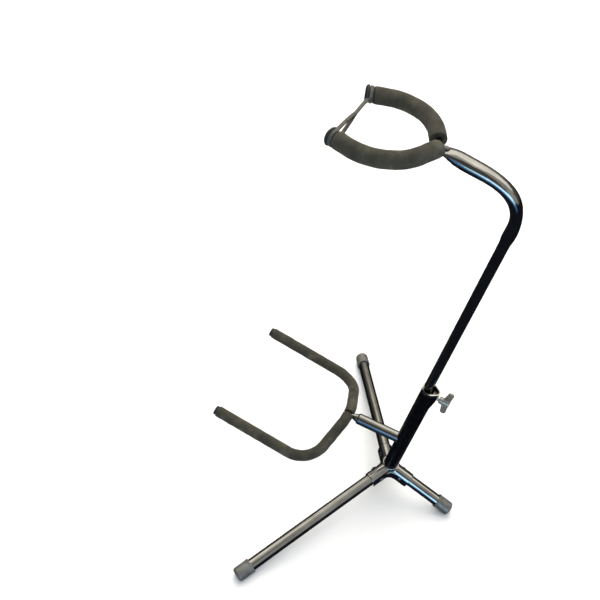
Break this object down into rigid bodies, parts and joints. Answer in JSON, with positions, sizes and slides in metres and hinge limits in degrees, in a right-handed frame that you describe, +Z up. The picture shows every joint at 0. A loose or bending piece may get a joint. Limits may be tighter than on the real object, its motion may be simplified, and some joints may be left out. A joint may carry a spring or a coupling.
{
  "type": "guitar stand",
  "caption": "Folding tubular tripod guitar stand with foam neck yoke, swivel body cradle and a height clamp.",
  "frame": {"origin": "on the floor, at the centre of the bounding box seen from above", "axes": "+Z up, guitar side faces -Y, the stand's own left is +X"},
  "size_m": [0.5402, 0.406, 0.7386],
  "materials": {
    "black_chrome": "black nickel plate, polished",
    "gloss_black": "gloss black",
    "bright_chrome": "polished",
    "steel": "zinc plate",
    "rod_steel": "satin black",
    "foam": "closed-cell foam, matt",
    "grey_rubber": "satin",
    "strap_rubber": "satin",
    "black_plastic": "satin"
  },
  "bodies": {
    "base": {"hub_shell": "black_chrome", "hub_collar_ring": "bright_chrome", "hub_washer": "steel", "hub_bolt": "steel", "tube_bottom_plug": "black_plastic", "lower_tube": "gloss_black", "clamp_rim": "bright_chrome", "clamp_nut": "steel", "cradle_sleeve": "black_chrome", "cradle_bush": "black_plastic", "cradle_spring": "steel", "leg_rivet_left": "steel", "leg_rivet_right": "steel", "leg_rivet_rear": "steel"},
    "clamp_pad": {"clamp_pad": "black_plastic"},
    "wing_screw": {"clamp_screw": "bright_chrome", "wing_head": "bright_chrome"},
    "glide": {"glide_bush": "black_plastic"},
    "mast": {"upper_tube": "black_chrome", "yoke_rod": "rod_steel", "yoke_rivet": "steel", "yoke_foam_left": "foam", "yoke_foam_right": "foam", "yoke_knob_left": "black_plastic", "yoke_knob_right": "black_plastic", "retaining_strap": "strap_rubber"},
    "spring_seat": {"spring_seat": "steel"},
    "cradle": {"cradle_stem": "black_chrome", "stem_nut": "steel", "cradle_rod": "rod_steel", "cradle_foam_left": "foam", "cradle_foam_right": "foam", "cradle_cap_left": "black_plastic", "cradle_cap_right": "black_plastic"},
    "leg_left": {"leg_tube_left": "black_chrome", "leg_root_plug_left": "black_plastic", "foot_cap_left": "grey_rubber"},
    "leg_right": {"leg_tube_right": "black_chrome", "leg_root_plug_right": "black_plastic", "foot_cap_right": "grey_rubber"},
    "leg_rear": {"leg_tube_rear": "black_chrome", "leg_root_plug_rear": "black_plastic", "foot_cap_rear": "grey_rubber"}
  },
  "joints": [
    {"name": "height_slide", "type": "slide", "parent": "base", "child": "glide", "axis": [0, 0.1848, 0.9828], "range_m": [-0.13, 0.03]},
    {"name": "neck_swivel", "type": "hinge", "parent": "glide", "child": "mast", "pos_m": [0, 0.11294, 0.26565], "axis": [0, 0.1848, 0.9828], "continuous": true},
    {"name": "clamp_advance", "type": "slide", "parent": "base", "child": "clamp_pad", "axis": [0, 0.9828, -0.1848], "range_m": [0, 0.0014]},
    {"name": "clamp_screw_turn", "type": "hinge", "parent": "clamp_pad", "child": "wing_screw", "pos_m": [0, 0.13979, 0.27993], "axis": [0, 0.9828, -0.1848], "range_deg": [0, 504]},
    {"name": "cradle_pull", "type": "slide", "parent": "base", "child": "spring_seat", "axis": [0, -0.9914, 0.1305], "range_m": [0, 0.008], "stiffness_N_per_m": 1200, "springref_m": -0.012, "deforming": ["cradle_spring"]},
    {"name": "cradle_swivel", "type": "hinge", "parent": "spring_seat", "child": "cradle", "pos_m": [0, 0.0458, 0.15846], "axis": [0, -0.9914, 0.1305], "range_deg": [-90, 90]},
    {"name": "leg_fold_left", "type": "hinge", "parent": "base", "child": "leg_left", "pos_m": [0.02198, 0.06662, 0.0636], "axis": [0.4772, 0.8637, -0.1624], "range_deg": [0, 70]},
    {"name": "leg_fold_right", "type": "hinge", "parent": "base", "child": "leg_right", "pos_m": [-0.02198, 0.06662, 0.0636], "axis": [0.4772, -0.8637, 0.1624], "range_deg": [0, 70]},
    {"name": "leg_fold_rear", "type": "hinge", "parent": "base", "child": "leg_rear", "pos_m": [0, 0.10292, 0.05678], "axis": [-1, 0, 0], "range_deg": [0, 70]}
  ],
  "couplings": [
    {"joint": "clamp_advance", "follows": "clamp_screw_turn", "m_per_rad": 0.00015915}
  ]
}
